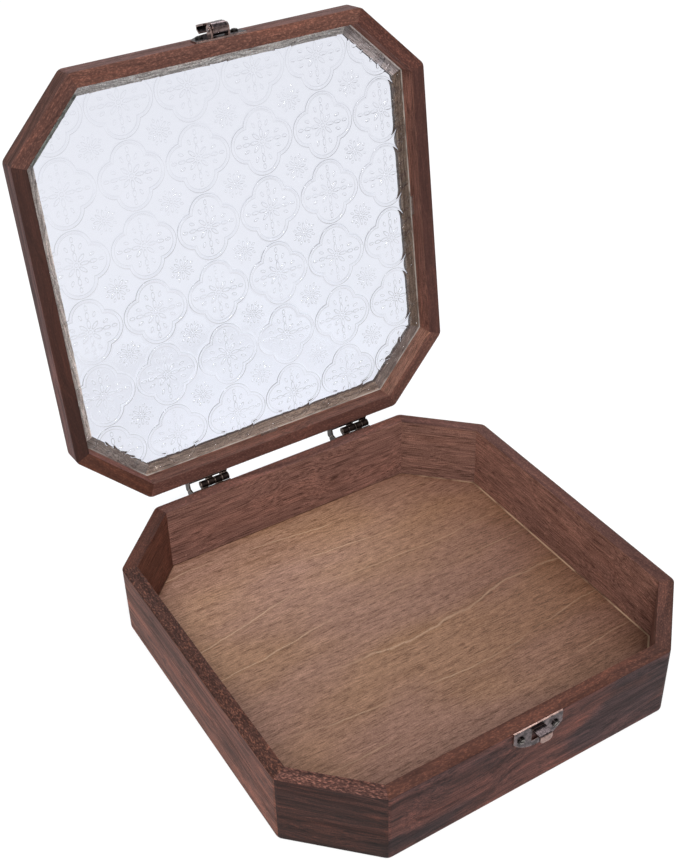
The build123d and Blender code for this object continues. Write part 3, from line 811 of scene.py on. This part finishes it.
def screw_tree():
    """A slotted pan head on a shank, stood on every point and turned as the point says."""
    tree = bpy.data.node_groups.new("slotted screws", "GeometryNodeTree")
    tree.interface.new_socket("Geometry", in_out="INPUT", socket_type="NodeSocketGeometry")
    for label in ("Head radius", "Head height", "Slot width", "Slot depth", "Shank radius", "Shank length"):
        tree.interface.new_socket(label, in_out="INPUT", socket_type="NodeSocketFloat")
    tree.interface.new_socket("Metal", in_out="INPUT", socket_type="NodeSocketMaterial")
    tree.interface.new_socket("Geometry", in_out="OUTPUT", socket_type="NodeSocketGeometry")
    given, result = tree.nodes.new("NodeGroupInput"), tree.nodes.new("NodeGroupOutput")
    size = given.outputs

    def lift(mesh, height):
        offset = node_in(tree, "ShaderNodeCombineXYZ", {2: height}).outputs[0]
        return node_in(tree, "GeometryNodeTransform", {"Geometry": mesh, "Translation": offset}).outputs[0]

    crown = maths(tree, "MULTIPLY", size["Head height"], 0.45)
    rim = maths(tree, "MULTIPLY", size["Head height"], 0.55)
    lower = node_in(
        tree, "GeometryNodeMeshCylinder", {"Vertices": 32, "Radius": size["Head radius"], "Depth": rim}
    )
    lower = lift(
        lower.outputs["Mesh"],
        maths(tree, "ADD", maths(tree, "MULTIPLY", rim, -0.5), maths(tree, "MULTIPLY", crown, -1.0)),
    )
    upper = node_in(
        tree,
        "GeometryNodeMeshCone",
        {
            "Vertices": 32,
            "Radius Top": maths(tree, "MULTIPLY", size["Head radius"], 0.72),
            "Radius Bottom": size["Head radius"],
            "Depth": crown,
        },
    )
    upper = lift(upper.outputs["Mesh"], maths(tree, "MULTIPLY", crown, -1.0))
    shank_at = maths(tree, "MULTIPLY", maths(tree, "ADD", size["Shank length"], size["Head height"]), -0.5)
    shank_long = maths(
        tree, "SUBTRACT", size["Shank length"], maths(tree, "MULTIPLY", size["Head height"], 0.6)
    )
    shank = node_in(
        tree,
        "GeometryNodeMeshCylinder",
        {"Vertices": 16, "Radius": size["Shank radius"], "Depth": shank_long},
    )
    shank = lift(shank.outputs["Mesh"], shank_at)
    blade = node_in(
        tree,
        "ShaderNodeCombineXYZ",
        {0: 0.01, 1: size["Slot width"], 2: maths(tree, "MULTIPLY", size["Slot depth"], 2.0)},
    )
    blade = node_in(tree, "GeometryNodeMeshCube", {"Size": blade.outputs[0]})
    whole = node_in(tree, "GeometryNodeMeshBoolean", operation="UNION", solver="EXACT")
    for part in (lower, upper, shank):
        tree.links.new(part, whole.inputs["Mesh 2"])
    cut = node_in(
        tree,
        "GeometryNodeMeshBoolean",
        {"Mesh 1": whole.outputs[0]},
        operation="DIFFERENCE",
        solver="EXACT",
    )
    tree.links.new(blade.outputs["Mesh"], cut.inputs["Mesh 2"])
    turn = node_in(tree, "GeometryNodeInputNamedAttribute", {0: "turn"}, data_type="QUATERNION")
    stood = node_in(
        tree,
        "GeometryNodeInstanceOnPoints",
        {"Points": size["Geometry"], "Instance": cut.outputs[0], "Rotation": turn.outputs[0]},
    )
    real = node_in(tree, "GeometryNodeRealizeInstances", {"Geometry": stood.outputs[0]})
    dressed = node_in(
        tree, "GeometryNodeSetMaterial", {"Geometry": real.outputs[0], "Material": size["Metal"]}
    )
    tree.links.new(dressed.outputs[0], result.inputs[0])
    return tree


slotted_screws = screw_tree()
first_turn = 0.5
turn_step = 2.1


def drive_screws(node, body, outward):
    """Stands a screw wherever the CAD node has one, its head the way 'outward' looks."""
    outward = Vector(outward).normalized()
    aside = outward.orthogonal().normalized()
    upright = outward.cross(aside)
    bm = bmesh.new()
    bm.from_mesh(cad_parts[node].data)
    bmesh.ops.remove_doubles(bm, verts=bm.verts, dist=weld_distance)
    left, places = set(bm.verts), []
    while left:
        one, queue = [], [min(left, key=lambda v: v.index)]
        left.discard(queue[0])
        while queue:
            vert = queue.pop()
            one.append(vert.co.copy())
            for edge in vert.link_edges:
                other = edge.other_vert(vert)
                if other in left:
                    left.discard(other)
                    queue.append(other)
        spans = [[axis.dot(p) for p in one] for axis in (outward, aside, upright)]
        top = max(spans[0])
        places.append(
            outward * top + aside * (
                max(spans[1]) + min(spans[1])
            ) / 2 + upright * (max(spans[2]) + min(spans[2])) / 2,
        )
    bm.free()
    points = bpy.data.meshes.new(node + "_points")
    points.from_pydata([tuple(p) for p in places], [], [])
    turns = points.attributes.new("turn", "QUATERNION", "POINT")
    for index in range(len(places)):
        spin = Matrix.Rotation(first_turn + turn_step * index, 3, "Z")
        turns.data[index].value = (outward.to_track_quat("Z", "Y").to_matrix() @ spin).to_quaternion()
    carrier = bpy.data.objects.new(node + "_points", points)
    bpy.context.scene.collection.objects.link(carrier)
    sizes = {
        "Head radius": 0.0017,
        "Head height": 0.001,
        "Slot width": 0.00045,
        "Slot depth": 0.0005,
        "Shank radius": 0.0009,
        "Shank length": 0.0042,
        "Metal": blackened,
    }
    mesh = grown_mesh(carrier, slotted_screws, **sizes)
    wear_and_highlight = [0.6 if min((f.center - p).length for p in places) < 0.0009 else 0.1 for f in mesh.polygons]
    mesh.attributes.new("wear_and_highlight", "FLOAT", "FACE").data.foreach_set("value", wear_and_highlight)
    screws = bpy.data.objects.new(node + "_driven", mesh)
    bpy.context.scene.collection.objects.link(screws)
    for polygon in mesh.polygons:
        polygon.use_smooth = True
    mesh.set_sharp_from_angle(angle=radians(32))
    finish_piece(screws, node, body, blackened)


lid_turn = Matrix.Rotation(lid_tilt, 3, "X")
drive_screws("hinge_screws_base", "base", (0, 1, 0))
drive_screws("hinge_screws_lid", "lid", lid_turn @ Vector((0, 1, 0)))

# ---------------------------------------------------------------------------------------------------------
# Hasp. A catch plate with a bent tongue on the base, and a plate with two ears, a pin and a sprung flap on
# the lid, all stamped from sheet and plated grey bronze; the plating is rubbed to copper on the edges, and
# these bright edges are also painted highlights.
# ---------------------------------------------------------------------------------------------------------
hasp = metal("hasp bronze", (0.045, 0.036, 0.038), (0.165, 0.13, 0.134), (0.34, 0.225, 0.195), 0.72)


def rub_and_highlight(piece, facing, amount, lip=None):
    """Brightens the cut edges of a stamped plate, and the outer face of a lip that stands out past 'lip':
    rubbed plating, and painted highlights.
    """
    wear_and_highlight = piece.data.attributes["wear_and_highlight"].data
    for index, polygon in enumerate(piece.data.polygons):
        out = polygon.center.dot(facing) - half_width
        edge = abs(polygon.normal.dot(facing)) < 0.4 and (lip is None or out < 0.001)
        struck = lip is not None and out > lip and polygon.normal.dot(facing) > 0.6
        if edge or struck:
            wear_and_highlight[index].value = max(wear_and_highlight[index].value, amount)


base_front = Vector((0, -1, 0))
lid_front = lid_turn @ base_front
for name, body, facing, amount, lip in (
    ("catch_plate", "base", base_front, 0.9, 0.0045),
    ("latch_plate", "lid", lid_front, 0.9, None),
    ("latch_pin", "lid", lid_front, 0.0, None),
    ("latch_flap", "flap", lid_front, 0.3, None),
):
    piece = eased(name, 0.00016)
    rub_and_highlight(piece, facing, amount, lip)
    finish_piece(piece, name, body, hasp)
drive_screws("catch_screws", "base", base_front)
drive_screws("latch_screws", "lid", lid_front)

# ---------------------------------------------------------------------------------------------------------
# Stage: plain pale floor, soft studio light and the camera.
# ---------------------------------------------------------------------------------------------------------
floor_mesh = bpy.data.meshes.new("studio_floor")
reach = 4.0
floor_drop = 0.0002
floor_mesh.from_pydata(
    [(x, y, -floor_drop) for x, y in ((-reach, -reach), (reach, -reach), (reach, reach), (-reach, reach))],
    [],
    [(0, 1, 2, 3)],
)
floor = bpy.data.objects.new("studio_floor", floor_mesh)
bpy.context.scene.collection.objects.link(floor)
pale = bpy.data.materials.new("pale floor")
pale.use_nodes = True
table = pale.node_tree.nodes["Principled BSDF"]
table.inputs["Base Color"].default_value = (0.36, 0.36, 0.36, 1.0)
table.inputs["Roughness"].default_value = 0.9
table.inputs["Specular IOR Level"].default_value = 0.1
table.inputs["Emission Color"].default_value = (1.0, 1.0, 1.0, 1.0)
table.inputs["Emission Strength"].default_value = 0.66
floor_mesh.materials.append(pale)

world = bpy.data.worlds.new("studio")
bpy.context.scene.world = world
world.use_nodes = True
world.node_tree.nodes["Background"].inputs["Color"].default_value = (0.97, 0.98, 1.0, 1.0)
world.node_tree.nodes["Background"].inputs["Strength"].default_value = 0.4


def soft_light(name, place, aim, size, power, colour=(1.0, 1.0, 1.0)):
    lamp = bpy.data.lights.new(name, "AREA")
    lamp.shape = "DISK"
    lamp.size = size
    lamp.energy = power
    lamp.color = colour
    holder = bpy.data.objects.new(name, lamp)
    bpy.context.scene.collection.objects.link(holder)
    holder.location = place
    holder.rotation_euler = (Vector(aim) - Vector(place)).to_track_quat("-Z", "Y").to_euler()


soft_light("key", (-0.65, -1.15, 1.65), (0, 0, 0.05), 1.1, 44.0)
soft_light("rim", (0.7, 1.2, 1.5), (0, 0, 0.1), 0.8, 10.0)

lens = bpy.data.cameras.new("view")
lens.sensor_fit = "VERTICAL"
lens.sensor_height = 24.0
lens.lens = 36.318
lens.clip_start = 0.01
lens.clip_end = 50.0
camera = bpy.data.objects.new("view", lens)
bpy.context.scene.collection.objects.link(camera)
ahead = Vector((0.412147, 0.694398, -0.589871))
across = Vector((0.851363, -0.524109, -0.02213))
upward = Vector((0.324524, 0.493073, 0.807195))
camera.matrix_world = Matrix.Translation((-0.23671, -0.35464, 0.42579)) @ Matrix(
    (across, upward, -ahead)
).transposed().to_4x4()
bpy.context.scene.camera = camera
bpy.context.scene.view_settings.view_transform = "Standard"
